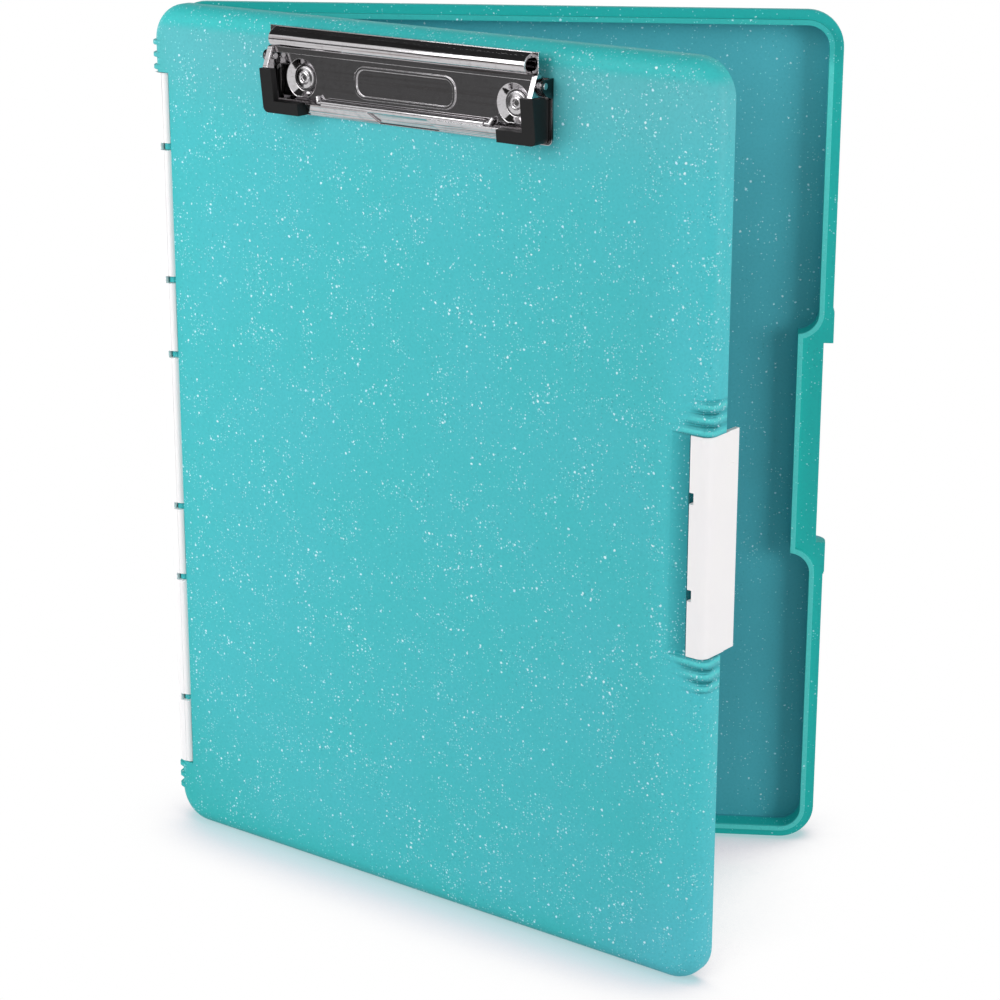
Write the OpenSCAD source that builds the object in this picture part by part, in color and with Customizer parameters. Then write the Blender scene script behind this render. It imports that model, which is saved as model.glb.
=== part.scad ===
// Storage clipboard box: a shallow tray and a matching lid that fold shut like a book
// round a white spine strip. The lid carries a low clip on its face and a snap latch on
// its free edge. The case stands on its short bottom edge with the lid swung part open.
// It is drawn with X along the width from the spine side, Y from front to back (Y = 0 is
// the plane where the two shells meet) and Z up from the surface it stands on. Every
// piece is then moved so that the origin is the middle of the tray's standing face.

/* [Case] */
// Width of the closed case, across the page (mm)
case_width = 241.3; // [225:0.1:260]
// Height of the case, along the page (mm)
case_height = 317.5; // [300:0.5:340]
// Depth of each shell, from its outer face to the meeting plane (mm)
shell_depth = 9; // [8.5:0.25:12]
// Corner radius seen from the front (mm)
corner_radius = 13; // [11:0.5:16]
// Rounding of the outer face's edge (mm)
edge_radius = 6; // [4.5:0.25:6.25]
// Thickness of each shell's large plate (mm)
plate_thickness = 2; // [1.8:0.1:2.4]

/* [Rim] */
// Width of the lid's rim wall (mm)
lid_rim = 3; // [2.8:0.1:3.2]
// Width of the tray's raised lip (mm)
lip_width = 1.8; // [1.4:0.1:2.2]
// How far the lip stands out of the tray's rim (mm)
lip_height = 2.4; // [1.6:0.1:3]
// Play between the lip and the lid's rim (mm)
lip_play = 0.3; // [0.2:0.05:0.4]

/* [Spine] */
// Length of the spine strip (mm)
strip_length = 268; // [256:1:270]
// Radius of the pins moulded on both shells (mm)
pin_radius = 1.5; // [1.3:0.05:1.6]
// Running clearance of a pin in its bore, on the radius (mm)
pin_play = 0.05; // [0.03:0.01:0.08]
// Distance of the pins from the spine's outer side (mm)
pin_inset = 5.1; // [4.8:0.1:5.4]
// Outer radius of the strip's barrels (mm)
barrel_radius = 3.3; // [3.1:0.05:3.4]
// Thickness of the strip's outer leaf (mm)
leaf_thickness = 2.2; // [1.8:0.1:2.4]
// Rounding of the strip's outer edges (mm)
strip_radius = 4.2; // [3.6:0.1:4.6]
// Thickness of a hinge arm along the pin (mm)
arm_thickness = 2.4; // [2:0.1:3]

/* [Latch] */
// Length of the latch (mm)
latch_length = 76; // [70:1:80]
// Radius of the latch's pin (mm)
latch_pin_radius = 1.4; // [1.2:0.05:1.5]
// Wall thickness of the latch (mm)
latch_wall = 1.8; // [1.5:0.1:2]

/* [Clip] */
// Length of the rolled thumb bar (mm)
bar_length = 108; // [104:1:110]
// Radius of the rolled thumb bar (mm)
bar_radius = 3; // [2.7:0.1:3.2]
// Thickness of the clip's sheet steel (mm)
sheet = 0.8; // [0.7:0.05:0.9]
// Distance of each rivet from the end of the thumb bar (mm)
rivet_inset = 8.9; // [8:0.1:14]

/* [Pose] */
// Angle between the tray and the spine strip (degrees, 0 is closed)
spine_open = 31; // [0:1:90]
// Angle between the spine strip and the lid (degrees, 0 is closed)
lid_open = 0; // [0:1:90]
// Angle of the latch (degrees, 0 is closed)
latch_open = 2; // [0:1:90]

/* [Hidden] */

teal = [0.29, 0.76, 0.77];
white = [0.97, 0.96, 0.95];
chrome = [0.75, 0.76, 0.78];
black = [0.09, 0.09, 0.10];

eps = 0.01;
fn = 64;
W = case_width;
H = case_height;
D = shell_depth;
mid = H / 2;
part_gap = 0.2;                       // each rim stops this far short of the meeting plane
body_play = 0.3;                      // play between moving plastic pieces

// Spine: the axes run up both shells, mirrored in the meeting plane.
barrel_set = 0.15;                    // how far a barrel lies below the case's face
pin_x = pin_inset;
pin_y = D - barrel_radius - barrel_set;
pocket_x = pin_x + barrel_radius + body_play;
strip_z0 = mid - strip_length / 2;
strip_z1 = mid + strip_length / 2;
pocket_z0 = strip_z0 - body_play;
pocket_z1 = strip_z1 + body_play;
arm_z = [for (s = [-1, 1]) for (a = [29.6, 57.9, 107.3]) mid + s * a];
pin_spans = [[mid - 107.3, mid - 57.9], [mid - 29.6, mid + 29.6], [mid + 57.9, mid + 107.3]];
arm_radius = pin_radius + 0.5;
arm_half = 1.2;                       // half the height of an arm's bar
tooth_radius = 3.2;                   // outer rounding of the teeth beside the strip
tooth_half = 0.85;
tooth_pitch = 4.4;
// as many teeth as there is straight edge for between the strip and the case's corner
teeth = floor((pocket_z0 - corner_radius - 3 * tooth_half) / tooth_pitch) + 1;

// Rims
shelf = lid_rim + lip_play;           // flat outer part of the tray's rim
tray_wall = shelf + lip_width;
spine_wall = pocket_x + 3.4;          // inner face of the tray beside the spine
lid_spine_wall = pocket_x + 2;
lip_start = spine_wall + 8;           // the tray's lip runs from here to the latch side

// Latch: its axis lies in the lid, near the leaf's inner edge.
latch_barrel = latch_pin_radius + 1.5;
latch_x = W - 5.5;
latch_y = -D + latch_barrel;
slot_x = latch_x - latch_barrel - 0.35;
slot_z0 = mid - latch_length / 2 - 0.35;
slot_z1 = mid + latch_length / 2 + 0.35;
rail_x = W - 3;                       // outer face of the catch rail on the tray
rail_depth = 3.6;
web_in = rail_x + 0.4;
web_out = web_in + latch_wall;
bend_in = 1.4;                        // inner radius of the latch's bend
bend_out = bend_in + latch_wall;
leaf_corner = 0.8;
latch_swing = (latch_barrel - leaf_corner) * sqrt(2) + leaf_corner;
hook_y = rail_depth + 0.5;
hook_t = 1.4;
web_end = D - 0.2;                    // the web wraps the case's whole side
latch_arm_z = [mid - 16.7, mid + 16.7];
latch_arm_t = 2.6;
slot_wall = 1.6;                      // wall of the lid beside the latch slot
scoop_width = 6.4;                    // finger scoop beside the latch
scoop_depth = 1.6;
scoop_radius = (scoop_width * scoop_width + scoop_depth * scoop_depth) / (2 * scoop_depth);
scoop_floor = 1.2;                    // extra thickness of the lid under the scoop
lip_recess = slot_x - slot_wall - lip_play;   // outer face of the lip beside the latch
lip_end = slot_wall + lip_play;
pad_length = 11.5;                    // plain raised pads beside the latch recess
bead_radius = 2.6;                    // outer rounding of the beads beside the latch
bead_pitch = 4.3;
bead_half = 1.7;
bead_rise = 0.55;                     // height of the tallest bead over the face
bead_reach = 11;                      // how far it runs on to the face

// Clip: all of it sits on the lid's outer face at Y = -D.
clip_x = W / 2 - 1.65;
face = -D;
plate_z0 = H - 32.8;
plate_z1 = H - 10.9;
pan_z0 = H - 26.5;
pan_z1 = H - 9.5;
pan_foot = 13.6;                      // the pan's lower middle starts this far from its ends
pan_slant = 4.2;
pan_drop = 2.4;
pan_y = face - 2.6;
pivot_y = face - 4.6;
pivot_z = H - 13;
rivet_z = H - 20.1;
rivet_spacing = bar_length - 2 * rivet_inset;
frame_half = 21.5;                    // bead round the middle of the pan
frame_top = rivet_z + 6.4;
frame_foot = rivet_z - 4.6;
frame_round = 4.5;
frame_width = 1;
frame_rise = 0.45;
dish_floor = 4.6;                     // radii of the dimples that the rivets sit in
dish_top = 6.7;
dish_depth = 1.8;
bar_y = face - 6.3;
bar_z = H - 6.4;
heel_y = face - 4.3;                  // rear of the plate that rises to the thumb bar
heel_z = H - 2.3;
arm_out = bar_length / 2 + 3;         // outer face of the lever's arms, from the middle
arm_sheet = 0.9;
plate_half = arm_out + 2.1;
pan_half = arm_out - 2.4;
pin_inner = arm_out - arm_sheet - 1.2;
flange_reach = 1;
jaw_foot = [face - 0.95, H - 31.5];
jaw_slope = 129;
jaw_width = 5.3;                      // of the sloping plate, from its foot up
jaw_step_left = [-17, -9.5];          // where its pressed-out ends stop, top and foot
jaw_step_right = [9, 16];
spring_y = face - 4.1;
spring_z = H - 27.4;
spring_r = 0.8;
spring_crank = 2.1;                   // length of the wire's cranked ends
curl_half = arm_out - 22.5;
spring_half = curl_half + 2;
grip_front = arm_out - 4.2;           // where the grip's front and foot begin
grip_foot = arm_out - 14.7;
jaw_half = grip_foot - 0.8;           // the pressed-out ends stop beside the grips
curl_r = spring_r + 0.55;
stand_y = (part_gap + D - edge_radius) / 2;
clip_pin_r = 1.1;
rivet_r = 1.6;
heel_foot = pivot_z + clip_pin_r + body_play;
grip_out = arm_out + 0.9;
grip_top = -16.8;                     // height of the grips, from the top of the case
grip_end = -32.2;

// ---------- placing ----------

module about_z(x, y, a) {
    translate([x, y, 0]) rotate([0, 0, a]) translate([-x, -y, 0]) children();
}
module spine_pose() { about_z(pin_x, pin_y, -spine_open) children(); }
module lid_pose() { spine_pose() about_z(pin_x, -pin_y, -lid_open) children(); }
module latch_pose() { lid_pose() about_z(latch_x, latch_y, -latch_open) children(); }

// Extrudes an X-Z outline from y = a back to y = b
module across(a, b) { translate([0, b, 0]) rotate([90, 0, 0]) linear_extrude(b - a) children(); }
// Extrudes an X-Y outline from z = a up to z = b
module upright(a, b) { translate([0, 0, a]) linear_extrude(b - a) children(); }
// Extrudes a Y-Z outline from x = a to x = b
module sideways(a, b) {
    translate([a, 0, 0]) rotate([90, 0, 90]) linear_extrude(b - a) children();
}

// ---------- outlines ----------

module rrect(x0, z0, x1, z1, r) {
    translate([x0 + r, z0]) square([x1 - x0 - 2 * r, z1 - z0]);
    translate([x0, z0 + r]) square([x1 - x0, z1 - z0 - 2 * r]);
    for (x = [x0 + r, x1 - r], z = [z0 + r, z1 - r]) translate([x, z]) circle(r, $fn = fn);
}

// Section of a shell from the corner's centre outwards, with the outer edge rounded
module edge_section(d) {
    r = edge_radius;
    intersection() {
        union() {
            square([corner_radius, d - r]);
            square([corner_radius - r, d]);
            translate([corner_radius - r, d - r]) circle(r, $fn = fn);
        }
        square([corner_radius, d]);
    }
}
// Keeps the part of an X-Y outline that lies outside the rim's plane
module under_rim() {
    intersection() {
        union() children();
        translate([-20, -2 * D]) square([W + 40, 2 * D - part_gap]);
    }
}

// A block with rounded corners and a rounded outer face, from y = -part_gap to y = -D
module shell_block() {
    d = D - part_gap;
    R = corner_radius;
    translate([0, -part_gap, 0]) rotate([90, 0, 0]) {
        translate([R, R, 0]) cube([W - 2 * R, H - 2 * R, d]);
        for (c = [[R, R, 180], [W - R, R, 270], [W - R, H - R, 0], [R, H - R, 90]])
            translate([c[0], c[1], 0]) rotate([0, 0, c[2]])
                rotate_extrude(angle = 90, $fn = fn) edge_section(d);
        for (c = [[W - R, R, 0, H], [R, H - R, 180, H], [R, R, 270, W], [W - R, H - R, 90, W]])
            translate([c[0], c[1], 0]) rotate([0, 0, c[2]])
                rotate([90, 0, 180]) mirror([1, 0, 0]) linear_extrude(c[3] - 2 * R)
                    edge_section(d);
    }
}

// Section of a shell's edge at the side x = 0, rounded with the radius r
module edge_fill(r, lift) {
    translate([r, -D - lift + r]) circle(r, $fn = fn);
    translate([0, -D - lift + r]) square([r, D + lift - r]);
    translate([r, -D - lift]) square([edge_radius - r + 1, D + lift]);
}

// One grip bead beside the latch, in layers that narrow as they rise: it fills the
// rounded edge out and runs to a point on the face
module bead(z, lift, reach) {
    n = 4;
    for (i = [1 : n]) {
        k = i / n;
        h = bead_half * sqrt(1 - (k - 0.5 / n) * (k - 0.5 / n)) + 0.2;
        upright(z - h, z + h) under_rim() translate([W, 0]) mirror([1, 0]) {
            edge_fill(edge_radius + (bead_radius - edge_radius) * k, lift * k);
            polygon([[edge_radius, -D - lift * k], [edge_radius + 1, -D - lift * k],
                     [edge_radius + reach * k + 1, -D], [edge_radius, -D + 0.5]]);
        }
    }
}
module latch_beads(z, s) {
    for (i = [0 : 2]) bead(z + s * (1.3 + bead_pitch * i), bead_rise - 0.1 * i, bead_reach - 3.5 * i);
}

// Grip teeth beside the spine strip: short stretches where the edge is less rounded
module spine_teeth(z, s) {
    for (i = [0 : 1 : teeth - 1], k = [[tooth_half, 0.7], [tooth_half - 0.2, 0]]) {
        c = z + s * (2 * tooth_half + tooth_pitch * i);
        upright(c - k[0], c + k[0]) under_rim() edge_fill(tooth_radius + k[1], 0);
    }
}

// Pins and arms moulded on the lid at its spine axis; the tray has them mirrored
module hinge_arms() {
    for (z = arm_z) upright(z - arm_thickness / 2, z + arm_thickness / 2) {
        translate([pin_x, -pin_y]) circle(arm_radius, $fn = fn);
        translate([pin_x, -pin_y - arm_half]) square([pocket_x - pin_x + 0.5, 2 * arm_half]);
    }
    for (p = pin_spans) translate([pin_x, -pin_y, p[0]])
        cylinder(r = pin_radius, h = p[1] - p[0], $fn = fn);
}

// What every shell loses: the spine pocket and the swing relief beside it
module spine_pocket() {
    translate([-20, -D - 5, pocket_z0]) cube([20 + pocket_x, D + 5.1, pocket_z1 - pocket_z0]);
    upright(-1, H + 1) difference() {
        translate([-20, -pin_y]) square([20 + pin_x, pin_y + 1]);
        translate([pin_x, -pin_y]) circle(pin_y - 0.2, $fn = fn);
    }
}

// ---------- tray ----------

module tray_inside(inset, r) {
    x0 = spine_wall + inset - tray_wall;
    step = lip_end + inset - shelf;
    rrect(x0, inset, lip_recess - inset + shelf, H - inset, r);
    rrect(x0, slot_z1 + step, W - inset, H - inset, r);
    rrect(x0, inset, W - inset, slot_z0 - step, r);
}

module base_tray() color(teal) mirror([0, 1, 0]) {
    difference() {
        union() {
            shell_block();
            spine_teeth(pocket_z1, 1);
            spine_teeth(pocket_z0, -1);
            // plain raised pads beside the latch recess
            for (k = [[pad_length + 0.8, 0.3], [pad_length, 0.5]])
                upright(slot_z0 - k[0], slot_z1 + k[0])
                under_rim() translate([W - edge_radius, -D + edge_radius]) {
                    circle(edge_radius + k[1], $fn = fn);
                    square([edge_radius + k[1], D]);
                }
            // raised lip round the opening, left out beside the spine
            difference() {
                across(-part_gap - 1, lip_height) tray_inside(shelf, corner_radius - shelf);
                translate([-1, -5, -1]) cube([lip_start + 1, 20, H + 2]);
            }
        }
        across(-D + plate_thickness, lip_height + 1)
            tray_inside(tray_wall, corner_radius - tray_wall);
        spine_pocket();
        // the back stays flat, so beads and pads stop at it
        translate([-10, -D - 5, -10]) cube([W + 20, 5, H + 20]);
        // recess for the latch, with the catch rail left at the front
        translate([rail_x, -D - 5, slot_z0]) cube([20, D + 6, slot_z1 - slot_z0]);
        translate([rail_x - 2, -D - 5, slot_z0]) cube([20, D + 5 - rail_depth, slot_z1 - slot_z0]);
    }
    hinge_arms();
}

// ---------- lid ----------

// Inside of the lid, stepping round the latch slot with a wall there
module lid_inside(wall) difference() {
    rrect(lid_spine_wall, lid_rim, W - lid_rim, H - lid_rim, corner_radius - lid_rim);
    translate([slot_x - wall, slot_z0 - slot_wall])
        square([20, slot_z1 - slot_z0 + 2 * slot_wall]);
}

module lid_shell() color(teal) lid_pose() {
    difference() {
        union() {
            shell_block();
            latch_beads(slot_z1, 1);
            latch_beads(slot_z0, -1);
            spine_teeth(pocket_z1, 1);
            spine_teeth(pocket_z0, -1);
        }
        across(-D + plate_thickness, 1) lid_inside(scoop_width + slot_wall);
        across(-D + plate_thickness + scoop_floor, 1) lid_inside(slot_wall);
        spine_pocket();
        // slot for the latch
        translate([slot_x, -D - 5, slot_z0]) cube([30, D + 6, slot_z1 - slot_z0]);
        // undercut that the leaf's inner corner swings in
        translate([latch_x, latch_y, slot_z0])
            cylinder(r = latch_swing + body_play, h = slot_z1 - slot_z0, $fn = fn);
        // finger scoop beside the latch
        translate([slot_x, -D - scoop_radius + scoop_depth, slot_z0 + eps])
            cylinder(r = scoop_radius, h = slot_z1 - slot_z0 - 2 * eps, $fn = fn);
        for (s = [-1, 1]) translate([clip_x + s * rivet_spacing / 2, 0, rivet_z])
            rotate([90, 0, 0]) cylinder(r = rivet_r + 0.05, h = D + 5, $fn = fn);
    }
    hinge_arms();
    // arms and pin that the latch snaps on to
    for (z = latch_arm_z) upright(z - latch_arm_t / 2, z + latch_arm_t / 2) {
        translate([latch_x, latch_y]) circle(latch_pin_radius, $fn = fn);
        translate([latch_x - 1, latch_y]) square([2, -latch_y - 1]);
        translate([slot_x - 0.6, latch_y + latch_barrel + 0.1])
            square([latch_x + 1 - slot_x + 0.6, -latch_y - latch_barrel - 0.1 - part_gap]);
    }
    translate([latch_x, latch_y, latch_arm_z[0]])
        cylinder(r = latch_pin_radius, h = latch_arm_z[1] - latch_arm_z[0], $fn = fn);
}

// ---------- spine strip ----------

// Half of the leaf's outline, d inside its outer face
module leaf_outline(d) {
    r = strip_radius;
    translate([r, r - D]) circle(r - d, $fn = fn);
    translate([d, r - D]) square([2 * pin_x - d, D - r + d]);
    translate([r, d - D]) square([2 * pin_x - r, D - d]);
}
module strip_half(grow) difference() {
    union() {
        translate([pin_x, -pin_y]) circle(barrel_radius, $fn = fn);
        // leaf, rounded on to the case's face and carried flat to the barrel
        intersection() {
            translate([0, -D]) square([pin_x, D]);
            difference() {
                leaf_outline(0);
                leaf_outline(leaf_thickness);
            }
        }
    }
    translate([pin_x, -pin_y]) circle(pin_radius + pin_play, $fn = fn);
    if (grow) translate([pin_x + barrel_radius - 1, -D - 1]) square([5, D]);
}
module strip_section(grow) {
    strip_half(grow);
    mirror([0, 1]) strip_half(grow);
}

module spine_strip() color(white) spine_pose() difference() {
    union() {
        upright(strip_z0, strip_z1) strip_section(true);
        for (p = pin_spans) upright(p[0], p[1]) strip_section(false);
    }
    // notches that the hinge arms swing in
    for (z = arm_z) {
        h = arm_thickness + body_play;
        translate([pin_x - arm_half - body_play, -D - 1, z - h / 2]) cube([20, 2 * D + 2, h]);
        for (s = [-1, 1]) translate([pin_x, s * pin_y, z - h / 2])
            cylinder(r = arm_radius + body_play, h = h, $fn = fn);
    }
    // mouths that snap over the pins
    for (p = pin_spans, s = [-1, 1])
        translate([pin_x, s * pin_y - 1.1, p[0]]) cube([10, 2.2, p[1] - p[0]]);
}

// ---------- latch ----------

module latch_section(hook) {
    translate([latch_x, latch_y]) circle(latch_barrel, $fn = fn);
    // leaf, square at its inner edge but for a small rounding
    translate([latch_x - latch_barrel + leaf_corner, -D])
        square([web_out - bend_out - latch_x + latch_barrel - leaf_corner, latch_wall]);
    translate([latch_x - latch_barrel, -D + leaf_corner]) square([2, latch_barrel - leaf_corner]);
    translate([latch_x - latch_barrel + leaf_corner, -D + leaf_corner])
        circle(leaf_corner, $fn = fn);
    // bend and web
    intersection() {
        translate([web_out - bend_out, -D]) square([bend_out, bend_out]);
        translate([web_out - bend_out, -D + bend_out]) difference() {
            circle(bend_out, $fn = fn);
            circle(bend_in, $fn = fn);
        }
    }
    translate([web_in, -D + bend_out]) square([latch_wall, D - bend_out + web_end]);
    if (hook) translate([web_in - 1.3, hook_y]) square([2, hook_t]);
}

module latch() color(white) latch_pose() difference() {
    union() {
        upright(mid - latch_length / 2, mid + latch_length / 2) latch_section(false);
        upright(latch_arm_z[0] + 0.4, latch_arm_z[1] - 0.4) latch_section(true);
    }
    translate([latch_x, latch_y, 0])
        cylinder(r = latch_pin_radius + pin_play, h = H, $fn = fn);
    for (z = latch_arm_z) {
        // clearance round each arm, and the notch in the leaf's inner edge
        translate([latch_x - 10, -D + latch_wall, z - latch_arm_t / 2 - 0.2])
            cube([12.6, 10, latch_arm_t + 0.4]);
        translate([latch_x - 10, -D - 1, z - latch_arm_t / 2 - 0.7])
            cube([10 - latch_barrel + 2, 10, latch_arm_t + 1.4]);
    }
    // mouth that snaps over the pin
    translate([latch_x - 1, latch_y, latch_arm_z[0]])
        cube([2, 10, latch_arm_z[1] - latch_arm_z[0]]);
    // shallow step along the web's free edge, deeper towards both ends
    translate([web_out - 0.3, web_end - 2.9, 0]) cube([1, 5, H]);
    for (s = [-1, 1]) translate([web_out - 0.3, web_end - 6.2, mid + s * (27 + 10) - 10])
        cube([1, 8, 20]);
}

// ---------- clip ----------

module at_rivets() {
    for (s = [-1, 1]) translate([clip_x + s * rivet_spacing / 2, 0, rivet_z]) children();
}

// Outline of the raised pan, d inside its edge; its middle reaches down behind the jaw
module pan_outline(d, r) {
    rrect(clip_x - pan_half + d, pan_z0 + d, clip_x + pan_half - d, pan_z1 - d, r);
    a = pan_half - pan_foot - d;
    b = a - pan_slant;
    polygon([for (p = [[-a, 2], [-b, d - pan_drop], [b, d - pan_drop], [a, 2]])
             [clip_x + p[0], pan_z0 + p[1]]]);
}

// Outline of the bead round the middle of the pan, d inside its edge
module bead_outline(d) {
    rrect(clip_x - frame_half + d, frame_foot + d, clip_x + frame_half - d, frame_top - d,
          frame_round - d);
}

module clip_plate() color(chrome) lid_pose() {
    difference() {
        union() {
            // flange that lies on the lid, and the raised pan pressed out of it
            across(face - sheet, face)
                rrect(clip_x - plate_half, plate_z0, clip_x + plate_half, plate_z1, 1.8);
            across(pan_y, face) pan_outline(0, 1.5);
            // plain bead round the middle of the pan
            across(pan_y - frame_rise, pan_y + 0.1) difference() {
                bead_outline(0);
                bead_outline(frame_width);
            }
            // side walls that carry the lever's pins
            for (s = [-1, 1]) sideways(clip_x + s * (plate_half - sheet / 2) - sheet / 2,
                                       clip_x + s * (plate_half - sheet / 2) + sheet / 2) {
                translate([pivot_y, pivot_z]) circle(2, $fn = fn);
                from_face([[0, -17.6], [-3.6, -16.6], [-5.9, -14.6], [-5.6, -11.3], [0, -10.9]]);
            }
        }
        // hollow under the pan, with the two dimples left standing
        across(pan_y + sheet, face + 1) difference() {
            pan_outline(sheet, 1);
            for (s = [-1, 1]) translate([clip_x + s * rivet_spacing / 2, rivet_z])
                circle(dish_top + 0.6, $fn = fn);
        }
        at_rivets() {
            rotate([90, 0, 0]) translate([0, 0, -face + sheet])
                cylinder(r1 = dish_floor, r2 = dish_top, h = dish_depth + eps, $fn = fn);
            rotate([90, 0, 0]) cylinder(r = rivet_r + 0.05, h = D + 9, $fn = fn);
        }
        for (s = [-1, 1]) translate([clip_x + s * plate_half, pivot_y, pivot_z])
            rotate([0, 90, 0]) cylinder(r = clip_pin_r, h = 4, center = true, $fn = fn);
    }
}

// Side outlines of the lever are given from the lid's face and the top of the case
module from_face(points) { translate([face, H]) polygon(points); }

// Lever arm, grown by g for the pocket in the grip
module arm_outline(g) {
    from_face([[-4.4, -9.3], [-5.5 - g, -9.3], [-6.2 - g, -9.6], [-9.2 - g, -16.5],
               [-7.2 - g, -30.9 - g], [-1.7 + g, -30.9 - g], [-2.7 + g, -24], [-2.7 + g, -10.3]]);
}
// Front edge of the arm, turned inwards as a flange
module flange_outline(g) {
    from_face([[-5.5, -9.3], [-6.2 - g, -9.6], [-9.2 - g, -16.5], [-7.2 - g, -30.9 - g],
               [-6.4 + g, -30.9 - g], [-8.4 + g, -16.6], [-5.4 + g, -9.9]]);
}
// Sloping jaw plate, grown by g
module jaw_outline(g) {
    translate(jaw_foot) rotate(jaw_slope) translate([-g, -g])
        square([jaw_width + 2 * g, sheet + 2 * g]);
}
module lever_sheet() {
    // thumb bar: a plate rises behind the arms, folds forward and rolls over to the front
    sideways(clip_x - bar_length / 2, clip_x + bar_length / 2) {
        difference() {
            translate([bar_y, bar_z]) circle(bar_radius, $fn = fn);
            translate([bar_y, bar_z]) circle(bar_radius - sheet, $fn = fn);
            translate([heel_y - sheet - 0.5, bar_z - 10]) square([10, 20]);
        }
        from_face([[-4.3, -2.3], [-7.1, -3.45], [-6.9, -4.3], [-4.3, -3.2]]);
    }
    sideways(clip_x - arm_out + 0.4, clip_x + arm_out - 0.4)
        translate([heel_y - sheet, heel_foot]) square([sheet, heel_z - heel_foot]);
    for (s = [-1, 1]) translate([s * (arm_out - arm_sheet / 2), 0, 0]) {
        sideways(clip_x - arm_sheet / 2, clip_x + arm_sheet / 2) arm_outline(0);
        translate([clip_x - s * flange_reach / 2, 0, 0])
            sideways(-(flange_reach + arm_sheet) / 2, (flange_reach + arm_sheet) / 2)
                flange_outline(0);
    }
    sideways(clip_x - arm_out + 0.4, clip_x + arm_out - 0.4) jaw_outline(0);
    // pressed-out ends of the jaw, which slope down to its set-back middle
    intersection() {
        sideways(clip_x - jaw_half, clip_x + jaw_half) translate([-0.55, -0.4]) jaw_outline(0);
        across(face - 10, face)
            for (p = [[-jaw_half - 1, jaw_step_left], [jaw_half + 1, jaw_step_right]])
                translate([clip_x, H])
                    polygon([[p[0], -26], [p[1][0], -26], [p[1][1], -34], [p[0], -34]]);
    }
    // curl that holds the spring
    sideways(clip_x - curl_half, clip_x + curl_half)
        translate([spring_y, spring_z]) circle(curl_r, $fn = fn);
}

module clip_lever() color(chrome) lid_pose() difference() {
    lever_sheet();
    for (s = [-1, 1]) translate([clip_x + s * arm_out, pivot_y, pivot_z])
        rotate([0, 90, 0]) cylinder(r = clip_pin_r + pin_play, h = 4, center = true, $fn = fn);
    // bore of the curl
    sideways(clip_x - curl_half - 4, clip_x + curl_half + 4)
        translate([spring_y, spring_z]) circle(spring_r + 0.05, $fn = fn);
}

// Straight torsion wire in the jaw's curl, cranked at both ends
module clip_spring() color(chrome) lid_pose() {
    sideways(clip_x - spring_half, clip_x + spring_half) translate([spring_y, spring_z])
        circle(spring_r, $fn = fn);
    for (s = [-1, 1]) translate([clip_x + s * spring_half, spring_y, spring_z]) {
        sphere(r = spring_r, $fn = fn);
        rotate([-20, s * 25, 0]) cylinder(r = spring_r, h = spring_crank, $fn = fn);
    }
}

module clip_pin(s) color(chrome) lid_pose() {
    outer = plate_half + 0.2;
    x0 = s < 0 ? -outer : pin_inner;
    translate([clip_x + x0, pivot_y, pivot_z]) rotate([0, 90, 0])
        cylinder(r = clip_pin_r, h = outer - pin_inner, $fn = fn);
}
module clip_pin_left() clip_pin(-1);
module clip_pin_right() clip_pin(1);

// Rivet: flanged head in the dimple, shank through the lid and a spread tail inside
module clip_rivet(s) color(chrome) lid_pose()
    translate([clip_x + s * rivet_spacing / 2, 0, rivet_z]) rotate([90, 0, 0])
        rotate_extrude($fn = fn) {
            // flat flange with a raised eyelet, shank, and the tail spread inside the lid
            top = D + sheet;
            tail = D - plate_thickness;
            polygon([[0, top + 0.3], [1.1, top + 0.3], [1.3, top + 0.9], [1.7, top + 1.1],
                     [2.1, top + 0.9], [2.3, top + 0.55], [3.6, top + 0.4],
                     [3.85, top + 0.2], [3.85, top], [rivet_r, top], [rivet_r, tail],
                     [2.7, tail], [2.7, tail - 0.9], [0, tail - 0.9]]);
        }
module clip_rivet_left() clip_rivet(-1);
module clip_rivet_right() clip_rivet(1);

// Corner grip: a moulded cap over the end of the jaw and the lower part of the arm
module clip_grip(s) color(black) lid_pose()
    translate([clip_x, 0, 0]) scale([s, 1, 1]) difference() {
        intersection() {
            union() {
                // front, wrapped round the arm's flange
                sideways(grip_front, grip_out)
                    from_face([[-10, grip_top], [-8.2, grip_end], [-5.5, grip_end],
                               [-7.4, grip_top]]);
                // skirt down the arm's outer side
                sideways(arm_out + 0.1, grip_out)
                    from_face([[-10, grip_top], [-8.2, grip_end], [-1.1, grip_end],
                               [-1.1, grip_top - 1.4], [-3.7, grip_top]]);
                // foot along the jaw
                sideways(grip_foot, grip_out)
                    from_face([[-8.2, grip_end], [-8.7, -28], [-5.4, -27.7], [-2, grip_end]]);
            }
            across(face - 12, face) rrect(grip_foot - 12, H + grip_end, grip_out, H - 10, 2);
        }
        sideways(arm_out - arm_sheet - 0.1, arm_out + 0.1) arm_outline(0.1);
        sideways(arm_out - arm_sheet - flange_reach - 0.1, arm_out + 0.1) flange_outline(0.1);
        sideways(grip_foot - 3, arm_out + 0.1) jaw_outline(0.05);
    }
module clip_grip_left() clip_grip(-1);
module clip_grip_right() clip_grip(1);

// Moves the finished pieces to the origin at the tray's standing face
module place() { translate([-W / 2, -stand_y, 0]) children(); }

place() base_tray();
place() lid_shell();
place() spine_strip();
place() latch();
place() clip_plate();
place() clip_lever();
place() clip_spring();
place() clip_pin_left();
place() clip_pin_right();
place() clip_rivet_left();
place() clip_rivet_right();
place() clip_grip_left();
place() clip_grip_right();
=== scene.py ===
"""Looks of a slim storage clipboard box: sparkling teal plastic shells, a white spine strip
and latch, and a polished spring clip with black corner grips, on a white floor."""

import math

import bpy
from bpy.props import FloatProperty, FloatVectorProperty, PointerProperty
from bpy.types import Operator, Panel, PropertyGroup
from mathutils import Matrix, Vector


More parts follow.
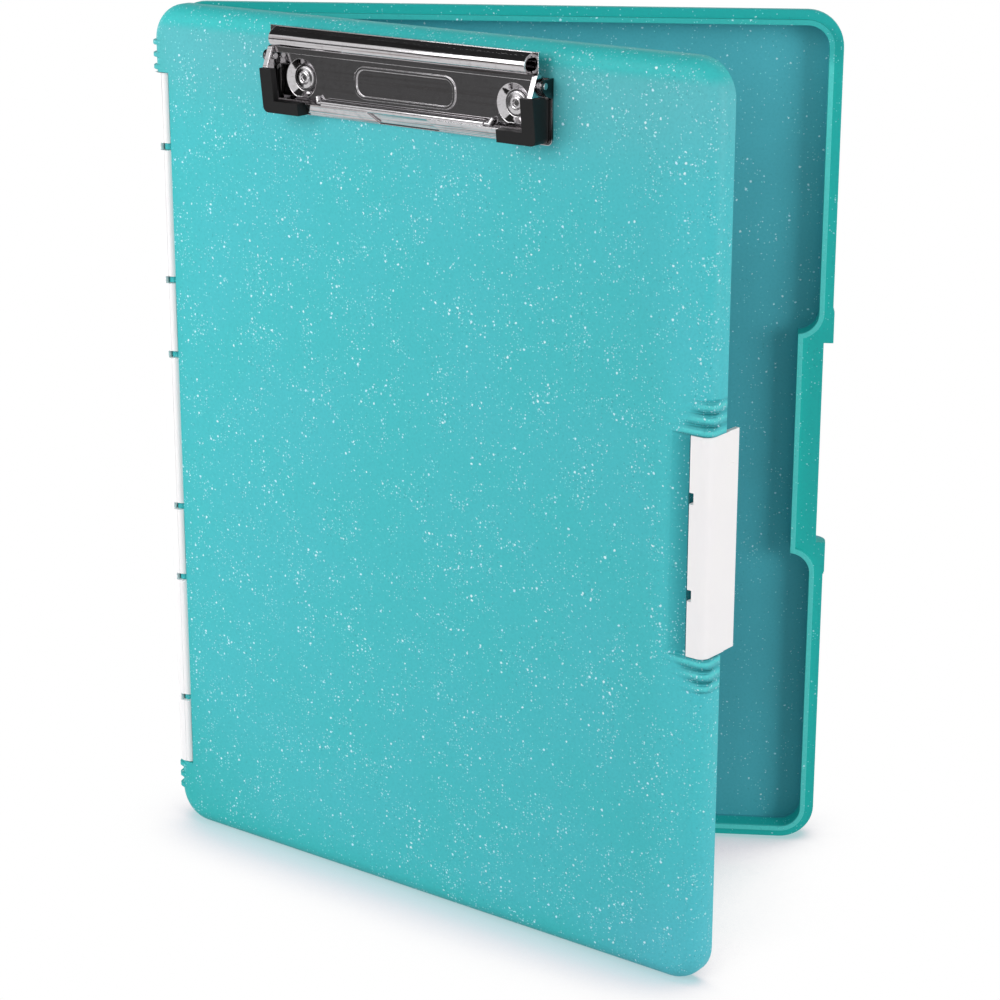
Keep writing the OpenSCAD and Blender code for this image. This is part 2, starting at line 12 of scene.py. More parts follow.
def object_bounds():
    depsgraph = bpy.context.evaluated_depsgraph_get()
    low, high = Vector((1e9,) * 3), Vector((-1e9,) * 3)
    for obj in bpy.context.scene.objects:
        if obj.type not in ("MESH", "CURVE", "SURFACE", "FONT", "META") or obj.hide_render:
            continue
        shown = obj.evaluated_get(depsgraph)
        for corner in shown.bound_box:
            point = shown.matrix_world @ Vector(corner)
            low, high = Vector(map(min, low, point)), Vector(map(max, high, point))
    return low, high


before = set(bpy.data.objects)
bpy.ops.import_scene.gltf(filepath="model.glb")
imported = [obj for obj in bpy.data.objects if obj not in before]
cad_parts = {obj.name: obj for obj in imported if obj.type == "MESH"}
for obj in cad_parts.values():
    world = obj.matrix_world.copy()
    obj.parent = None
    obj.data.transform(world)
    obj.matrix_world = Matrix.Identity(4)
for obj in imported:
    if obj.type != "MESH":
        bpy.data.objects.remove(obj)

bl_info = {
    "name": "Storage Clipboard Box Looks",
    "version": (1, 0, 0),
    "blender": (4, 5, 0),
    "location": "3D View > Sidebar > Clipboard",
    "description": "Finishes for a hinged storage clipboard with a low clip",
    "category": "Object",
}

CAD_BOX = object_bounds()
MM = 0.001
BLACK = (0, 0, 0)
WHITE = (1, 1, 1)

# Sizes of the lid
RIVET_TO_EDGE = 77.2 * MM      # from the right rivet along the lid to its free edge
CASE_WIDTH = 241.3 * MM
SLOT_EDGE = 8.75 * MM          # from the free edge in to the latch's slot
SCOOP_WIDTH = 6.4 * MM
BEADS = 3                      # on each side of the latch
BEAD_START = 1.65 * MM         # from the latch's end to the crest of the first bead
BEAD_PITCH = 4.3 * MM
BEAD_REACH = 14 * MM           # how far the first bead runs in from the edge
BEAD_TAPER = 3.5 * MM          # how much less each next bead runs in
BEAD_HEIGHT = 0.35             # of the beads' bump, in mm

# Where parts of the tray begin and end, as (low, high) of a soft ramp
TRAY_WALLS = (3.0 * MM, 5.2 * MM)      # along Y, from the walls to the large plate
TRAY_LIP = (-3.9 * MM, -2.4 * MM)      # along Y, from the raised lip to the walls
TRAY_TOP = (296 * MM, 304 * MM)        # along Z, from the sides to the top rim
# The free side gets a painted glow for the light falling on it
TRAY_FREE_SIDE = (86 * MM, 106 * MM)   # along X, from the plate to the lit free side

# Glitter: the share of flakes in a shell and the distance between flakes of a kind
LID_GLITTER = 1.0
TRAY_GLITTER = 0.28
LARGE_SPACING = 1.6 * MM
FINE_SPACING = 0.85 * MM
DARK_SPACING = 1.1 * MM

FLOOR_REACH = 6.0
# Square lamps: name, place, target, size and power
LAMPS = (
    ("key_lamp", (-0.95, -0.8, 0.75), (0, -0.05, 0.18), 0.8, 6.8),
    ("side_lamp", (1.8, -1.3, 0.36), (0.1, -0.02, 0.15), 1.0, 26),
    ("near_lamp", (-0.66, -0.16, 0.28), (-0.05, -0.03, 0.2), 0.3, 1.3),
)
# Lamps that the clip would mirror as white spots
UNMIRRORED_LAMPS = ("near_lamp",)
# Dark boards that only show in the metal: name, how light they look there, corners
DARK_CARDS = (
    ("dark_card_left", 0.085,
     [(-1.2, 0.35, 0), (-1.2, -1.0, 0), (-1.2, -1.0, 0.3), (-1.2, 0.35, 0.3)]),
    ("dark_card_top", 0.015,
     [(-2.6, -1.2, 1.9), (0, -1.2, 1.9), (0, 2.6, 1.9), (-2.6, 2.6, 1.9)]),
)


def node_box(name):
    """Lowest and highest corner of a CAD node."""
    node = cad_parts[name]
    corners = [node.matrix_world @ Vector(corner) for corner in node.bound_box]
    return [Vector(pick(corner[i] for corner in corners) for i in range(3))
            for pick in (min, max)]


def srgb(red, green, blue):
    """A colour given as display values from 0 to 255, in linear light."""
    def linear(value):
        share = value / 255
        return share / 12.92 if share <= 0.04045 else ((share + 0.055) / 1.055) ** 2.4
    return tuple(linear(value) for value in (red, green, blue))


# Colours that tint the main ones of the settings; several of them are painted light and shade,
# as marked below
CLOUD_TEAL = srgb(84, 193, 206)
SHADE_TEAL = (0.02, 0.22, 0.26)
GREEN_FLAKE = srgb(140, 238, 236)
BLUE_FLAKE = srgb(190, 226, 240)
BLUE_SPARKLE = srgb(196, 240, 255)
# Painted highlight on the tray's raised lip
LIP_HIGHLIGHT = srgb(92, 214, 208)
# Painted shade on the tray's walls at the top rim
TOP_RIM_SHADE = srgb(16, 130, 134)
# Painted pale bluish reflection at the lid's low corner by the free edge
LOW_CORNER_REFLECTION = srgb(100, 190, 212)
# Painted paler sheen along the lid's free edge
FREE_EDGE_SHEEN = srgb(84, 210, 220)
# Painted paler sheen across the top of the lid's face
HIGH_FACE_SHEEN = srgb(108, 190, 196)
# Deeper teal along the lid's top edge, a painted lack of sheen
TOP_EDGE_NO_SHEEN = srgb(26, 198, 196)
# Painted highlight on the crests of the lid's beads
BEAD_HIGHLIGHT = srgb(96, 224, 220)
# Painted shade in the grooves between the lid's beads
BEAD_GROOVE_SHADE = srgb(20, 140, 148)
# Painted shade in the finger scoop beside the latch
PAINTED_SCOOP_SHADE = srgb(14, 130, 140)
CLOUD_WHITE = srgb(246, 243, 246)
RUBBED_METAL = srgb(150, 146, 148)
ROLLED_METAL = srgb(122, 104, 100)
# Near black, also painted onto the clip plate's side walls as a dark reflection
NEAR_BLACK = (0.01, 0.01, 0.01)
WORN_BLACK = srgb(20, 19, 21)
# The floor's shade is painted from how open each spot is; beside the shells it is tinted cyan,
# a painted teal light thrown back from them
CONTACT_TINT = srgb(210, 248, 248)     # of the floor's shade beside the shells
FADING_TINT = srgb(240, 233, 241)      # of the same shade further out
WIDE_TINT = srgb(222, 236, 239)        # of the faint shade between the shells
SHADED_FLOOR = srgb(160, 163, 172)


def colour_property(name, description, values):
    """A colour swatch property."""
    return FloatVectorProperty(name=name, description=description, subtype="COLOR", size=3,
                               min=0, max=1, default=srgb(*values))


# ---------- settings ----------

class PlasticSettings(PropertyGroup):
    """Colours of the moulded plastic and the size of its glitter."""
    teal: colour_property("Teal", "Body colour of both shells", (70, 193, 198))
    # The tray's own teal, painted greyer and darker than the lid's as part of the shade that
    # the lid casts into the tray
    tray_shaded_teal: colour_property("Tray teal", "Colour of the tray's large plate", (76, 174, 187))
    # Painted: a deeper teal for the light through the tray's slim walls and for the lid's
    # rounded edges, which turn away from the sheen
    painted_deep_teal: colour_property("Deep teal", "Rims, walls and rounded edges", (30, 178, 172))
    sparkle: colour_property("Sparkle", "Colour of the brightest flakes", (226, 253, 255))
    white: colour_property("White", "Spine strip and latch", (254, 251, 250))
    black: colour_property("Black", "Corner grips", (4, 4, 5))
    flake: FloatProperty(name="Flake", description="Radius of a large glitter flake",
                         default=0.62 * MM, unit="LENGTH", precision=5)
    fine_flake: FloatProperty(name="Fine flake", description="Radius of a fine glitter flake",
                              default=0.36 * MM, unit="LENGTH", precision=5)


class MetalSettings(PropertyGroup):
    """Finish of the clip."""
    chrome: colour_property("Chrome", "Plated sheet steel", (196, 194, 196))
    roughness: FloatProperty(name="Roughness", description="Roughness of the plating",
                             default=0.07, min=0, max=1)


class StageSettings(PropertyGroup):
    """Camera, lamps and floor."""
    lens: FloatProperty(name="Lens", description="Focal length for a 36 mm wide sensor, in mm",
                        default=95.04)
    eye: FloatVectorProperty(name="Eye", description="Place of the camera", subtype="XYZ",
                             unit="LENGTH", size=3, default=(0.08831, -0.94412, 0.43447))
    yaw: FloatProperty(name="Yaw", description="Turn of the camera to the right of +Y",
                       subtype="ANGLE", default=math.radians(-5.409))
    pitch: FloatProperty(name="Pitch", description="Tilt of the camera below the horizon",
                         subtype="ANGLE", default=math.radians(17.648))
    roll: FloatProperty(name="Roll", description="Turn of the camera about its own axis",
                        subtype="ANGLE", default=math.radians(0.103))
    floor: colour_property("Floor", "Colour of the floor", (205, 206, 210))
    contact: FloatProperty(name="Contact", description="Reach of the shade round the case",
                           default=42 * MM, unit="LENGTH")
    between_shells: FloatProperty(name="Between shells", unit="LENGTH", default=220 * MM,
                                  description="Reach of the faint shade between the shells")
    sky: FloatProperty(name="Sky", description="Strength of the even light all round",
                       default=0.40, min=0)


# ---------- materials ----------

class Value:
    """A socket of a material. Arithmetic on it adds Math nodes to that material."""

    def __init__(self, paint, socket):
        self.paint = paint
        self.socket = socket

    def math(self, operation, *others):
        """A Math node on this value and others."""
        return self.paint.add("Math", {"operation": operation},
                              {i: other for i, other in enumerate((self,) + others)})

    def __add__(self, other):
        return self.math("ADD", other)

    __radd__ = __add__

    def __mul__(self, other):
        return self.math("MULTIPLY", other)

    __rmul__ = __mul__

    def __sub__(self, other):
        return self.math("SUBTRACT", other)

    def __rsub__(self, other):
        return self.paint.add("Math", {"operation": "SUBTRACT"}, {0: other, 1: self})

    def __truediv__(self, other):
        return self.math("DIVIDE", other)

    def __lt__(self, other):
        return self.math("LESS_THAN", other)

    def between(self, low, high):
        """0 below low, 1 above high and a smooth ramp between them."""
        return self.paint.add("MapRange", {"interpolation_type": "SMOOTHSTEP"},
                              {"Value": self, "From Min": low, "From Max": high})


class Paint:
    """A new material and the nodes in it."""

    def __init__(self, name):
        self.material = bpy.data.materials.new(name)
        self.material.use_nodes = True
        self.tree = self.material.node_tree
        self.shader = self.tree.nodes["Principled BSDF"]

    def add(self, kind, settings, sockets, output=0):
        """Adds a node of a kind, with its settings first and then its socket values."""
        node = self.tree.nodes.new("ShaderNode" + kind)
        for key, value in settings.items():
            setattr(node, key, value)
        for key, value in sockets.items():
            self.feed(node.inputs[key], value)
        return Value(self, node.outputs[output])

    def feed(self, socket, value):
        """Links a value to a socket, or sets the socket to a number or colour."""
        if isinstance(value, Value):
            self.tree.links.new(value.socket, socket)
        elif socket.type == "RGBA" and len(value) == 3:
            socket.default_value = (*value, 1)
        else:
            socket.default_value = value

    def finish(self, **sockets):
        """Sets the shader's own sockets; a name's underscores stand for spaces."""
        for key, value in sockets.items():
            self.feed(self.shader.inputs[key.replace("_", " ")], value)
        return self.material

    def place(self):
        """Where the surface is, in the shared frame with the case at rest."""
        return self.add("TexCoord", {}, {}, "Object")

    def axis(self, letter):
        """Place along X, Y or Z."""
        return self.add("SeparateXYZ", {}, {0: self.place()}, letter)

    def vectors(self, operation, a, b, output="Vector"):
        """Vector maths on two vectors."""
        return self.add("VectorMath", {"operation": operation}, {0: a, 1: b}, output)

    def noise(self, size, detail=2.0, roughness=0.5, vector=None):
        """Noise from 0 to 1 whose bumps are about size across."""
        return self.add("TexNoise", {}, {"Vector": vector or self.place(), "Scale": 1 / size,
                                         "Detail": detail, "Roughness": roughness})

    def mix(self, factor, a, b):
        """Colour a where factor is 0 and b where it is 1."""
        node = self.tree.nodes.new("ShaderNodeMix")
        node.data_type = "RGBA"
        self.feed(node.inputs[0], factor)
        self.feed(node.inputs[6], a)
        self.feed(node.inputs[7], b)
        return Value(self, node.outputs[2])

    def bump(self, height, distance, corner=0.3 * MM):
        """A bumpy normal. Every sharp corner is softened by a radius of corner, if any."""
        sockets = {"Height": height, "Distance": distance}
        if corner:
            sockets["Normal"] = self.add("Bevel", {"samples": 6}, {"Radius": corner})
        return self.add("Bump", {}, sockets, "Normal")

    def openness(self, reach):
        """1 on open ground, and less where something within reach stands over it."""
        return self.add("AmbientOcclusion", {"samples": 12}, {"Distance": reach}, "AO")

    def channel(self, colour, index):
        """One of a colour's three channels."""
        return self.add("SeparateColor", {}, {0: colour}, index)


def flakes(paint, spacing, radius, share, crowd):
    """Random flakes in the plastic: (how much of a flake shows, a random colour for each).
    crowd, about 0 to 1, thins them out where it is low."""
    node = paint.tree.nodes.new("ShaderNodeTexVoronoi")
    wobble = paint.add("TexNoise", {}, {"Vector": paint.place(), "Scale": 0.8 / radius,
                                        "Detail": 1.0}, "Color")
    bent = paint.add("VectorMath", {"operation": "MULTIPLY_ADD"},
                     {0: wobble, 1: (1.2 * radius,) * 3, 2: paint.place()})
    paint.feed(node.inputs["Vector"], bent)
    paint.feed(node.inputs["Scale"], 1 / spacing)
    distance = Value(paint, node.outputs["Distance"]) * spacing
    dice = Value(paint, node.outputs["Color"])
    chosen = paint.channel(dice, 0) < crowd * share
    size = radius * (0.55 + 0.45 * paint.channel(dice, 1))
    disc = 1 - (distance / size).between(0.45, 1.0)
    return disc * chosen, dice


def glitter_plastic(name, plastic, body, shaped, density):
    """Moulded teal plastic, satin on top and full of pale flakes of two sizes. body is its
    main colour. shaped takes the paint and its base colour, and gives the colour with the light
    and shade painted onto that shell, the height of what is moulded into it and any painted
    glow. density is the share of flakes, 0 to 1."""
    paint = Paint(name)
    crowd = paint.noise(9 * MM, 3).between(0.4, 0.7)
    large, large_dice = flakes(paint, LARGE_SPACING, plastic.flake, 0.6 * density, crowd)
    fine, fine_dice = flakes(paint, FINE_SPACING, plastic.fine_flake, density,
                             0.22 + 0.78 * crowd)
    dark, dark_dice = flakes(paint, DARK_SPACING, plastic.fine_flake * 1.2, 0.8, crowd)
    cloud = paint.noise(45 * MM, 3, 0.6).between(0.35, 0.65)
    base = paint.mix(cloud * 0.3, tuple(body), CLOUD_TEAL)
    # shaped paints light and shade into the colour and gives any painted glow
    base, height, glow = shaped(paint, plastic, base)
    shade = paint.mix(0.5, base, SHADE_TEAL)
    mottle = paint.noise(0.9 * MM, 2).between(0.4, 0.7)
    base = paint.mix(mottle * 0.22, base, shade)
    base = paint.mix(dark * (0.2 + 0.6 * paint.channel(dark_dice, 1)), base, shade)
    tint = paint.mix(paint.channel(fine_dice, 2), GREEN_FLAKE, BLUE_FLAKE)
    colour = paint.mix(fine * (0.25 + 0.65 * paint.channel(fine_dice, 1)), base, tint)
    shine = paint.mix(paint.channel(large_dice, 2), tuple(plastic.sparkle), BLUE_SPARKLE)
    colour = paint.mix(large * (0.4 + 0.6 * paint.channel(large_dice, 1)), colour, shine)
    grain = paint.noise(0.35 * MM, 2)
    return paint.finish(
        Base_Color=colour,
        Roughness=0.5 - 0.14 * large + 0.05 * cloud,
        Normal=paint.bump(grain * 0.012 + height, MM),
        Specular_IOR_Level=0.32,
        Emission_Color=glow,
        Emission_Strength=1.0,
    )


def tray_shape(paint, plastic, base):
    """The tray's rim and walls are painted a deeper teal than its large plate, for the light
    through the slim walls, and its raised lip gets a painted highlight. The walls get a painted
    shade at the top rim and a painted glow, also on the free side, that stands in for light let
    through the slim walls and for light falling on that side."""
    depth = paint.axis("Y")
    walls = 1 - depth.between(*TRAY_WALLS)
    lip = 1 - depth.between(*TRAY_LIP)
    top = paint.axis("Z").between(*TRAY_TOP)
    free_side = paint.axis("X").between(*TRAY_FREE_SIDE)
    # Painted deeper teal on the rim and walls, for the light through them
    colour = paint.mix(walls, base, tuple(plastic.painted_deep_teal))
    # Painted highlight on the raised lip, weaker towards the top rim
    colour = paint.mix(lip * (0.8 - 0.45 * top), colour, LIP_HIGHLIGHT)
    # Painted shade on the walls at the top rim
    colour = paint.mix(walls * top * 0.3, colour, TOP_RIM_SHADE)
    # Painted glow: on the walls for light let through them, and on the free side for light
    # falling there
    painted_glow_share = walls.math("MAXIMUM", free_side * 0.45)
    return colour, 0, paint.mix(painted_glow_share * 0.13, BLACK, colour)


def lid_shape(paint, plastic, base):
    """Painted sheen and shade over the lid's face and towards its rounded edges, the grip beads
    on both sides of the latch as bumps with a painted highlight on each crest and painted shade
    in the grooves between them, and painted shade in the finger scoop."""
    left, right = (sum(node_box("clip_rivet_" + side), Vector()) / 2
                   for side in ("left", "right"))
    latch = node_box("latch")
    middle = (latch[0].z + latch[1].z) / 2
    half = (latch[1].z - latch[0].z) / 2
    from_rivet = paint.vectors("SUBTRACT", right, paint.place())
    inward = paint.vectors("DOT_PRODUCT", from_rivet, (right - left).normalized(),
                           "Value") + RIVET_TO_EDGE
    off = (paint.axis("Z") - middle).math("ABSOLUTE")
    colour = lid_tints(paint, plastic, base, inward, off)
    step = (off - (half + BEAD_START)) / BEAD_PITCH
    reach = BEAD_REACH - BEAD_TAPER * step
    beads = ((reach - inward).between(0, 5 * MM) * step.between(-0.6, -0.3)
             * (1 - step.between(BEADS - 0.7, BEADS - 0.4)))
    wave = (step * (2 * math.pi)).math("COSINE")
    # Painted highlight on each bead's crest
    colour = paint.mix(beads * wave.between(0.1, 1) * 0.45, colour, BEAD_HIGHLIGHT)
    # Painted shade in the grooves between the beads
    colour = paint.mix(beads * (0 - wave).between(0.1, 1) * 0.5, colour, BEAD_GROOVE_SHADE)
    # Painted shade in the finger scoop, darkest towards the latch
    scoop = (1 - inward.between(SLOT_EDGE - 2 * MM, SLOT_EDGE + SCOOP_WIDTH + 3 * MM)) * (
        1 - off.between(half - 2 * MM, half + 1 * MM))
    return paint.mix(scoop * 0.85, colour, PAINTED_SCOOP_SHADE), beads * wave * BEAD_HEIGHT, BLACK


def lid_tints(paint, plastic, base, inward, off):
    """Painted sheen and shade on the lid's face: deeper teal where its edges turn away from the
    sheen and towards the low corner at the spine, and paler sheen along the free edge, at its
    low corner and across the top. inward is the distance from its free edge and off the one
    from the latch's middle, along the free edge."""
    deep = tuple(plastic.painted_deep_teal)
    height = paint.axis("Z")
    spine = CASE_WIDTH - inward
    below_top = CAD_BOX[1][2] - height
    edge = spine.math("MINIMUM", CAD_BOX[1][2] / 2 - off)
    # A distance, where the tint is full and where it ends, its share and its colour
    tints = (
        # Painted lack of sheen: deeper teal towards the spine, top and bottom edges
        (edge, 0, 16 * MM, 0.45, deep),
        # Painted shade: deeper teal towards the low corner at the spine
        (spine + height, 10 * MM, 100 * MM, 0.5, deep),
        # Painted pale reflection towards the low corner at the free edge
        (inward + height, 10 * MM, 70 * MM, 0.5, LOW_CORNER_REFLECTION),
        # Painted paler sheen along the free edge
        (inward, 10 * MM, 26 * MM, 0.3, FREE_EDGE_SHEEN),
        # Painted paler sheen across the top of the face
        (below_top, 10 * MM, 50 * MM, 0.45, HIGH_FACE_SHEEN),
        # Painted lack of sheen: deeper teal along the top edge
        (below_top, 5 * MM, 9 * MM, 0.65, TOP_EDGE_NO_SHEEN),
    )
    for distance, full, end, share, tint in tints:
        base = paint.mix((1 - distance.between(full, end)) * share, base, tint)
    return base


def white_plastic(plastic):
    """Satin white plastic with a faint moulding grain."""
    paint = Paint("white_plastic")
    cloud = paint.noise(14 * MM, 2).between(0.3, 0.7)
    colour = paint.mix(cloud * 0.25, tuple(plastic.white), CLOUD_WHITE)
    grain = paint.noise(0.3 * MM, 2)
    return paint.finish(Base_Color=colour, Roughness=0.36 + 0.06 * cloud,
                        Normal=paint.bump(grain, 0.008 * MM, corner=0))


def along_clip(paint, across, along):
    """Places in the metal, squeezed so that a noise on them is drawn out along the clip."""
    left, right = (node_box("clip_rivet_" + side)[0] for side in ("left", "right"))
    length = (right - left).normalized()
    up = Vector((0, 0, 1))
    parts = [paint.vectors("DOT_PRODUCT", paint.place(), axis / size, "Value")
             for axis, size in ((length, along), (length.cross(up), across), (up, across))]
    return paint.add("CombineXYZ", {}, dict(enumerate(parts)))


def dark_reflection_walls(paint):
    """1 on the outer faces of the clip plate's side walls, above its foot, where a dark
    reflection is painted in.
    """
    low, high = node_box("clip_plate")
    middle = (low + high) / 2
    reach = math.hypot(high.x - low.x, high.y - low.y) / 2
    offset = paint.vectors("DISTANCE", paint.place(), middle, "Value")
    outside = offset.between(reach - 3.5 * MM, reach - 2.5 * MM)
    above_foot = (paint.axis("Z") - low.z).between(1.5 * MM, 2.5 * MM)
    return outside * above_foot


def chrome_sheet(metal, name, roughness, drawn=0.0, dark=None):
    """Polished plating with the slight waves and rubbed spots of pressed sheet. drawn is how
    strong the lines are that the rolls left along it. dark takes the paint and gives where a
    dark reflection is painted onto the sheet as near black."""
    paint = Paint(name)
    waves = paint.noise(7 * MM, 1, 0.4)
    rub = paint.noise(2.5 * MM, 4, 0.65)
    lines = paint.noise(1, 2, 0.6, along_clip(paint, 0.9 * MM, 60 * MM))
    colour = paint.mix(rub.between(0.45, 0.75) * 0.3, tuple(metal.chrome), RUBBED_METAL)
    colour = paint.mix(lines.between(0.52, 0.7) * drawn, colour, ROLLED_METAL)
    if dark is not None:
        # Painted dark reflection: the plating is made near black on the side walls
        colour = paint.mix(dark(paint) * 0.92, colour, NEAR_BLACK)
    return paint.finish(Base_Color=colour, Metallic=1.0,
                        Roughness=roughness + 0.08 * rub.between(0.5, 0.8),
                        Normal=paint.bump(waves * 0.025 + lines * (0.06 * drawn), MM))


def black_plastic(plastic):
    """Black moulded plastic with a fine spark-eroded grain."""
    paint = Paint("black_plastic")
    grain = paint.noise(0.28 * MM, 3, 0.6)
    colour = paint.mix(grain.between(0.4, 0.8) * 0.4, tuple(plastic.black), WORN_BLACK)
    return paint.finish(Base_Color=colour, Roughness=0.46 + 0.1 * grain,
                        Normal=paint.bump(grain, 0.03 * MM), Specular_IOR_Level=0.28)


def dress(nodes, material):
    """Gives CAD nodes one material, in place of any they had."""
    for name in nodes:
        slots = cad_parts[name].data.materials
        slots.clear()
        slots.append(material)


# ---------- stage ----------

def area_lamp(name, place, target, size, energy):
    """A square soft box at place that faces target."""
    light = bpy.data.lights.new(name, "AREA")
    light.size = size
    light.energy = energy
    lamp = bpy.data.objects.new(name, light)
    bpy.context.scene.collection.objects.link(lamp)
    lamp.location = place
    lamp.rotation_euler = (Vector(target) - Vector(place)).to_track_quat("-Z", "Y").to_euler()
    return lamp


def panel_mesh(name, corners):
    """A flat four-cornered sheet."""
    mesh = bpy.data.meshes.new(name)
    mesh.from_pydata(corners, [], [tuple(range(len(corners)))])
    sheet = bpy.data.objects.new(name, mesh)
    bpy.context.scene.collection.objects.link(sheet)
    return sheet


def dark_card(name, shade):
    """Dark board that only shows in the metal; shade is how light it looks there, 0 to 1."""
    return Paint(name).finish(Base_Color=NEAR_BLACK, Roughness=1.0, Emission_Color=WHITE,
                              Emission_Strength=shade)


def camera_only(tree):
    """A socket that is 1 for rays that the camera sends, straight or by way of a mirror."""
    path = tree.nodes.new("ShaderNodeLightPath")
    total = path.outputs["Is Camera Ray"]
    for name in ("Is Glossy Ray", "Is Transmission Ray"):
        both = tree.nodes.new("ShaderNodeMath")
        both.operation = "MAXIMUM"
        tree.links.new(total, both.inputs[0])
        tree.links.new(path.outputs[name], both.inputs[1])
        total = both.outputs[0]
    return total


# ---------- operators ----------

class CLIPBOARD_OT_shells(Operator):
    """Give the tray and the lid their glittering plastic."""
    bl_idname = "clipboard.shells"
    bl_label = "Shells"

    def execute(self, context):
        plastic = context.scene.clip_plastic
        dress(("lid_shell",),
              glitter_plastic("glitter_lid", plastic, plastic.teal, lid_shape, LID_GLITTER))
        dress(("base_tray",),
              glitter_plastic("glitter_tray", plastic, plastic.tray_shaded_teal, tray_shape,
                              TRAY_GLITTER))
        return {"FINISHED"}


class CLIPBOARD_OT_white_parts(Operator):
    """Give the spine strip and the latch their white plastic."""
    bl_idname = "clipboard.white_parts"
    bl_label = "Spine strip and latch"

    def execute(self, context):
        dress(("spine_strip", "latch"), white_plastic(context.scene.clip_plastic))
        return {"FINISHED"}


class CLIPBOARD_OT_clip(Operator):
    """Give the clip's sheet, wire, pins and rivets their plating."""
    bl_idname = "clipboard.clip"
    bl_label = "Clip"

    def execute(self, context):
        metal = context.scene.clip_metal
        dress(("clip_plate",), chrome_sheet(metal, "chrome_plate", metal.roughness, 0.15,
                                            dark_reflection_walls))
        dress(("clip_lever",), chrome_sheet(metal, "chrome_lever", metal.roughness, 0.6))
        dress(("clip_spring", "clip_pin_left", "clip_pin_right", "clip_rivet_left",
               "clip_rivet_right"), chrome_sheet(metal, "chrome_wire", metal.roughness + 0.05))
        return {"FINISHED"}


class CLIPBOARD_OT_grips(Operator):
    """Give the corner grips their black plastic."""
    bl_idname = "clipboard.grips"
    bl_label = "Grips"

    def execute(self, context):
        dress(("clip_grip_left", "clip_grip_right"), black_plastic(context.scene.clip_plastic))
        return {"FINISHED"}


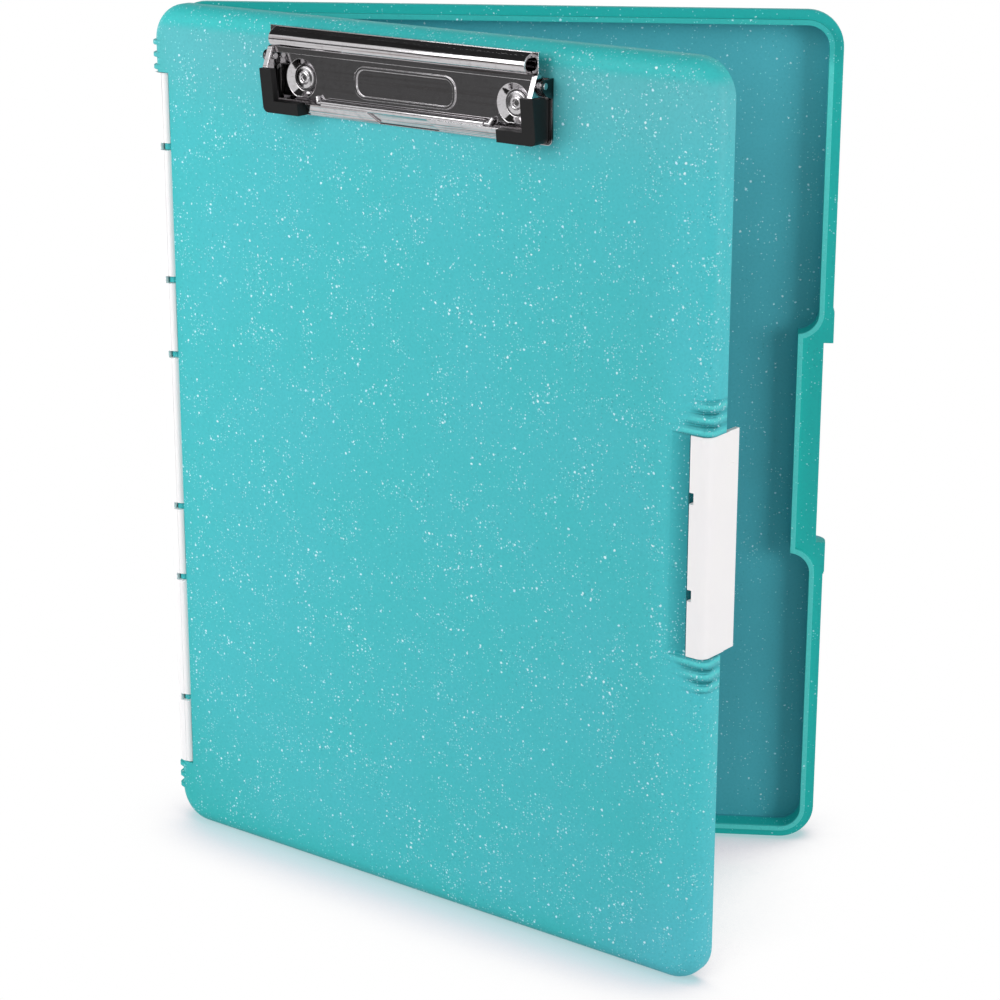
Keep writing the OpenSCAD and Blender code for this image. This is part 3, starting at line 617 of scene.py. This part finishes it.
class CLIPBOARD_OT_stage(Operator):
    """Make the floor, the even light, the lamps and the camera."""
    bl_idname = "clipboard.stage"
    bl_label = "Stage"

    def execute(self, context):
        stage = context.scene.clip_stage
        self.floor(stage)
        self.world(context.scene, stage)
        self.lamps()
        self.camera(context.scene, stage)
        context.scene.view_settings.view_transform = "Standard"
        return {"FINISHED"}

    def floor(self, stage):
        """A floor that is white to the camera, with shade where the case stands over it, and
        that lights the case as a pale grey. Openness is 0.5 beside a wall and 1 in the open."""
        reach = FLOOR_REACH
        floor = panel_mesh("floor", [(-reach, -reach, 0), (reach, -reach, 0), (reach, reach, 0),
                                     (-reach, reach, 0)])
        paint = Paint("floor_white")
        open_near = paint.openness(stage.contact)
        open_wide = paint.openness(stage.between_shells)
        # Painted shade, tinted cyan beside the shells as a painted teal light thrown back from
        # them
        tint = paint.mix(open_near.between(0.5, 0.72), CONTACT_TINT, FADING_TINT)
        tint = paint.mix(open_near.between(0.9, 1.0), tint, WIDE_TINT)
        glow = paint.add("Emission", {}, {"Color": tint, "Strength": 0.48})
        faint = paint.add("BsdfDiffuse", {}, {"Color": SHADED_FLOOR})
        shaded = paint.add("AddShader", {}, {0: glow, 1: faint})
        white = paint.add("Emission", {}, {"Color": WHITE, "Strength": 1.0})
        away = open_near.between(0.5, 0.9).math("MINIMUM", open_wide.between(0.35, 0.58))
        both = paint.add("MixShader", {}, {0: away, 1: shaded, 2: white})
        grey = paint.add("BsdfDiffuse", {}, {"Color": tuple(stage.floor)})
        seen = Value(paint, camera_only(paint.tree))
        shown = paint.add("MixShader", {}, {0: seen, 1: grey, 2: both})
        paint.tree.nodes.remove(paint.shader)
        output = paint.tree.nodes["Material Output"]
        paint.tree.links.new(shown.socket, output.inputs["Surface"])
        floor.data.materials.append(paint.material)

    def world(self, scene, stage):
        """Even light all round, with a white background for the camera."""
        world = bpy.data.worlds.new("studio")
        world.use_nodes = True
        scene.world = world
        tree = world.node_tree
        even = tree.nodes["Background"]
        even.inputs["Color"].default_value = (*WHITE, 1)
        even.inputs["Strength"].default_value = stage.sky
        seen = tree.nodes.new("ShaderNodeBackground")
        seen.inputs["Color"].default_value = (*WHITE, 1)
        seen.inputs["Strength"].default_value = 1.0
        mix = tree.nodes.new("ShaderNodeMixShader")
        tree.links.new(camera_only(tree), mix.inputs[0])
        tree.links.new(even.outputs[0], mix.inputs[1])
        tree.links.new(seen.outputs[0], mix.inputs[2])
        tree.links.new(mix.outputs[0], tree.nodes["World Output"].inputs["Surface"])

    def lamps(self):
        """The soft boxes, and the dark boards that the clip mirrors."""
        for name, *rest in LAMPS:
            lamp = area_lamp(name, *rest)
            lamp.visible_glossy = name not in UNMIRRORED_LAMPS
        for name, shade, corners in DARK_CARDS:
            card = panel_mesh(name, corners)
            card.data.materials.append(dark_card(name, shade))
            card.visible_camera = False
            card.visible_diffuse = False
            card.visible_shadow = False

    def camera(self, scene, stage):
        """A camera at the eye, turned by yaw, pitch and roll."""
        data = bpy.data.cameras.new("camera")
        data.lens = stage.lens
        data.sensor_width = 36.0
        data.clip_start, data.clip_end = 0.02, 50.0
        camera = bpy.data.objects.new("camera", data)
        scene.collection.objects.link(camera)
        ahead = Vector((math.sin(stage.yaw) * math.cos(stage.pitch),
                        math.cos(stage.yaw) * math.cos(stage.pitch), -math.sin(stage.pitch)))
        level = ahead.cross(Vector((0, 0, 1))).normalized()
        upward = level.cross(ahead)
        right = math.cos(stage.roll) * level + math.sin(stage.roll) * upward
        up = right.cross(ahead)
        turn = Matrix((right, up, -ahead)).transposed()
        camera.matrix_world = Matrix.Translation(Vector(stage.eye)) @ turn.to_4x4()
        scene.camera = camera


# ---------- panel and registration ----------

class CLIPBOARD_PT_looks(Panel):
    """Settings and steps of the clipboard's looks."""
    bl_label = "Clipboard looks"
    bl_idname = "CLIPBOARD_PT_looks"
    bl_space_type = "VIEW_3D"
    bl_region_type = "UI"
    bl_category = "Clipboard"

    def draw(self, context):
        for settings in (context.scene.clip_plastic, context.scene.clip_metal,
                         context.scene.clip_stage):
            box = self.layout.box()
            for key in settings.bl_rna.properties.keys():
                if key not in ("rna_type", "name"):
                    box.prop(settings, key)
        for step in STEPS:
            self.layout.operator(step.bl_idname)


GROUPS = {"clip_plastic": PlasticSettings, "clip_metal": MetalSettings,
          "clip_stage": StageSettings}
STEPS = (CLIPBOARD_OT_stage, CLIPBOARD_OT_shells, CLIPBOARD_OT_white_parts, CLIPBOARD_OT_clip,
         CLIPBOARD_OT_grips)


def register():
    """Registers the settings, then the steps and the panel."""
    for key, group in GROUPS.items():
        bpy.utils.register_class(group)
        setattr(bpy.types.Scene, key, PointerProperty(type=group))
    for step in STEPS + (CLIPBOARD_PT_looks,):
        bpy.utils.register_class(step)


def unregister():
    """Undoes register()."""
    for step in reversed(STEPS + (CLIPBOARD_PT_looks,)):
        bpy.utils.unregister_class(step)
    for key, group in GROUPS.items():
        delattr(bpy.types.Scene, key)
        bpy.utils.unregister_class(group)


def main():
    """Runs every step on the frame."""
    register()
    bpy.ops.clipboard.stage()
    bpy.ops.clipboard.shells()
    bpy.ops.clipboard.white_parts()
    bpy.ops.clipboard.clip()
    bpy.ops.clipboard.grips()


if __name__ == "__main__":
    main()
